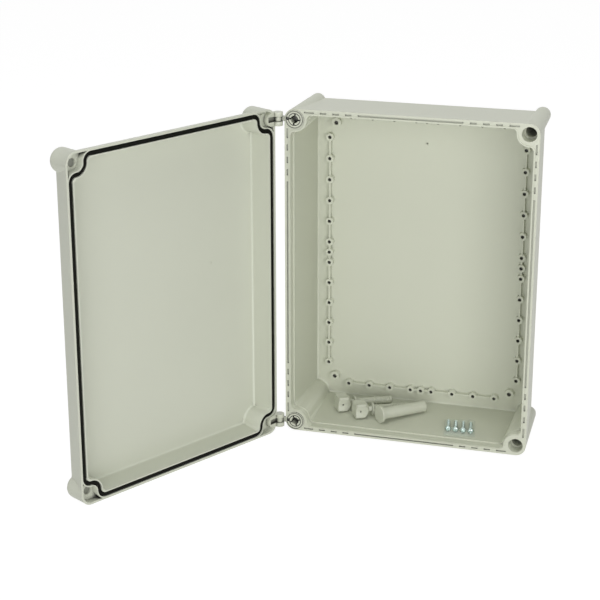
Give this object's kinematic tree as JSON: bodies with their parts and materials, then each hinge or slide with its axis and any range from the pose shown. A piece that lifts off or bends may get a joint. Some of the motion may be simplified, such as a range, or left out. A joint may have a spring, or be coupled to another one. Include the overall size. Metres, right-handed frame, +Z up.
{
  "type": "hinged enclosure",
  "caption": "Deep grey plastic wall enclosure with a hinged lid, a seal round its rim and rows of bosses on the back panel, lid open.",
  "frame": {"origin": "centre of the wall-fixing pattern on the back face", "axes": "+Z up, +X right seen from the front, the open side faces -Y; the back face looks along +Y"},
  "size_m": [0.4502, 0.3517, 0.382],
  "materials": {
    "polycarbonate_grey": "fine satin injection moulding",
    "hinge_grey": "smooth moulded polyamide",
    "screw_plastic_grey": "smooth moulded polyamide",
    "foam_seal_black": "poured polyurethane foam skin",
    "hinge_pin_steel": "drawn steel pin",
    "zinc_plated_steel": "bright blue zinc plate",
    "clear_film": "thin clear polythene"
  },
  "bodies": {
    "base": {"base_shell": "polycarbonate_grey", "hinge_base_top": "hinge_grey", "hinge_base_bottom": "hinge_grey", "hinge_lock_top": "hinge_grey", "hinge_lock_bottom": "hinge_grey", "cover_screw_1": "screw_plastic_grey", "cover_screw_2": "screw_plastic_grey", "long_plug": "screw_plastic_grey", "plate_screw_1": "zinc_plated_steel", "plate_screw_2": "zinc_plated_steel", "plate_screw_3": "zinc_plated_steel", "plate_screw_4": "zinc_plated_steel", "screw_bag": "clear_film"},
    "lid": {"lid_shell": "polycarbonate_grey", "lid_gasket": "foam_seal_black", "hinge_fork_top": "hinge_grey", "hinge_fork_bottom": "hinge_grey", "hinge_pin_top": "hinge_pin_steel", "hinge_pin_bottom": "hinge_pin_steel"}
  },
  "joints": [
    {"name": "lid_hinge", "type": "hinge", "parent": "base", "child": "lid", "pos_m": [-0.1463, -0.1012, 0], "axis": [0, 0, -1], "range_deg": [-119.5, 60.5]}
  ]
}
